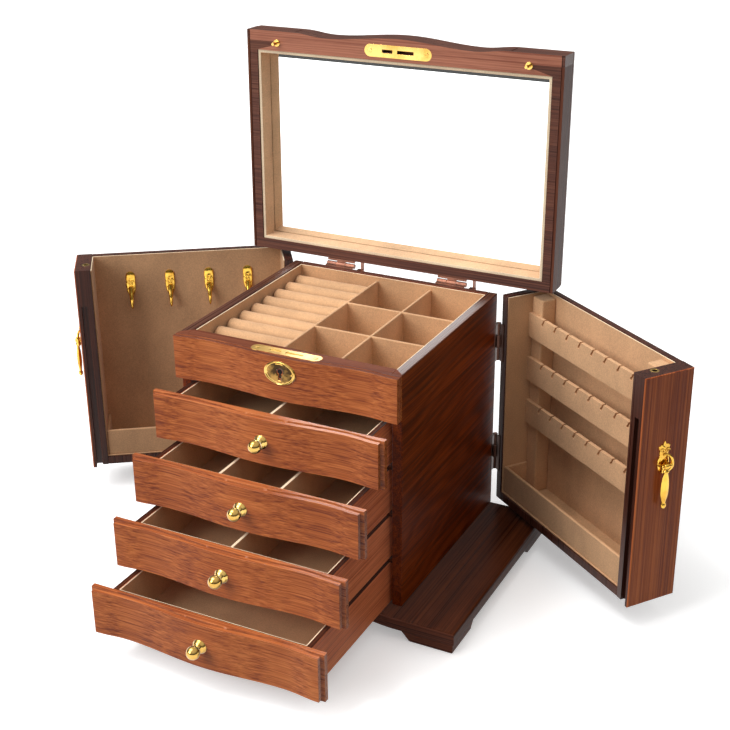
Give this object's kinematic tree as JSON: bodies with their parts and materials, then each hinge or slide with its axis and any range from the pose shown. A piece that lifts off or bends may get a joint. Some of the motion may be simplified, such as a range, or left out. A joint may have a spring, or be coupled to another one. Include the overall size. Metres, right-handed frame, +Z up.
{
  "type": "jewellery chest",
  "caption": "Wooden jewellery chest with a serpentine front, pull-out drawers, a divided top tray under a mirrored lid, and deep lined wing doors.",
  "frame": {"origin": "centre of the base board's footprint, on the table that the feet stand on", "axes": "+X to the right as seen from the front, +Y to the back, +Z up; the front with the drawers faces -Y"},
  "size_m": [0.6366, 0.4203, 0.469],
  "materials": {
    "wood_front": "satin lacquer over a reddish-brown stain",
    "wood_side": "satin lacquer over a dark brown stain",
    "wood_inside": "stained, unpolished",
    "velvet": "short-pile flock",
    "brass": "polished",
    "hinge_metal": "antique bronze",
    "mirror": "silvered glass"
  },
  "bodies": {
    "case": {"base_board": "wood_side", "feet": "wood_side", "left_side": "wood_side", "right_side": "wood_side", "case_back": "wood_side", "drawer_shelves": "wood_inside", "tray_floor": "wood_inside", "front_rail": "wood_front", "tray_lining": "velvet", "tray_dividers": "velvet", "ring_rolls": "velvet", "lock_plate": "brass", "lock_case": "brass", "escutcheon": "brass", "lid_hinge_fixed_leaves": "hinge_metal", "door_hinge_fixed_leaves": "hinge_metal", "hinge_pins": "hinge_metal"},
    "lid": {"lid_frame": "wood_side", "lid_panel": "wood_side", "lid_mirror": "mirror", "lid_lining": "velvet", "strike_plate": "brass", "lid_pins": "brass", "lid_hinge_leaves": "hinge_metal"},
    "left_door": {"left_door_front": "wood_front", "left_door_shell": "wood_side", "left_door_lining": "velvet", "left_door_pocket": "velvet", "necklace_hooks": "brass", "left_door_socket": "brass", "left_handle_plate": "brass", "left_door_hinge_leaves": "hinge_metal"},
    "right_door": {"right_door_front": "wood_front", "right_door_shell": "wood_side", "right_door_lining": "velvet", "right_door_pocket": "velvet", "necklace_bars": "velvet", "bar_cleats": "velvet", "right_door_socket": "brass", "right_handle_plate": "brass", "right_door_hinge_leaves": "hinge_metal"},
    "left_handle": {"left_handle_drop": "brass"},
    "right_handle": {"right_handle_drop": "brass"},
    "lock_bolt": {"lock_bolt": "brass"},
    "drawer_1": {"drawer_front_1": "wood_front", "drawer_box_1": "wood_inside", "drawer_lining_1": "velvet", "drawer_knob_1": "brass"},
    "drawer_2": {"drawer_front_2": "wood_front", "drawer_box_2": "wood_inside", "drawer_lining_2": "velvet", "drawer_knob_2": "brass"},
    "drawer_3": {"drawer_front_3": "wood_front", "drawer_box_3": "wood_inside", "drawer_lining_3": "velvet", "drawer_knob_3": "brass"},
    "drawer_4": {"drawer_front_4": "wood_front", "drawer_box_4": "wood_inside", "drawer_lining_4": "velvet", "drawer_knob_4": "brass"}
  },
  "joints": [
    {"name": "lid_hinge", "type": "hinge", "parent": "case", "child": "lid", "pos_m": [0, 0.118, 0.24485], "axis": [-1, 0, 0], "range_deg": [-91, 0]},
    {"name": "left_door_hinge", "type": "hinge", "parent": "case", "child": "left_door", "pos_m": [-0.10925, 0.1167, 0.12], "axis": [0, 0, -1], "range_deg": [-55.3, 39.7]},
    {"name": "right_door_hinge", "type": "hinge", "parent": "case", "child": "right_door", "pos_m": [0.10925, 0.1167, 0.12], "axis": [0, 0, 1], "range_deg": [-53.6, 41.4]},
    {"name": "drawer_1_slide", "type": "slide", "parent": "case", "child": "drawer_1", "axis": [0, -1, 0], "range_m": [-0.035, 0.115]},
    {"name": "drawer_2_slide", "type": "slide", "parent": "case", "child": "drawer_2", "axis": [0, -1, 0], "range_m": [-0.0715, 0.0785]},
    {"name": "drawer_3_slide", "type": "slide", "parent": "case", "child": "drawer_3", "axis": [0, -1, 0], "range_m": [-0.105, 0.045]},
    {"name": "drawer_4_slide", "type": "slide", "parent": "case", "child": "drawer_4", "axis": [0, -1, 0], "range_m": [-0.142, 0.008]},
    {"name": "left_handle_swing", "type": "hinge", "parent": "left_door", "child": "left_handle", "pos_m": [-0.30963, 0.00927, 0.16], "axis": [-0.5693, 0.8221, 0], "range_deg": [0, 80]},
    {"name": "right_handle_swing", "type": "hinge", "parent": "right_door", "child": "right_handle", "pos_m": [0.30636, 0.00337, 0.16], "axis": [-0.5934, -0.8049, 0], "range_deg": [0, 80]},
    {"name": "lock_bolt_slide", "type": "slide", "parent": "case", "child": "lock_bolt", "axis": [0, 0, 1], "range_m": [0, 0.005]}
  ]
}
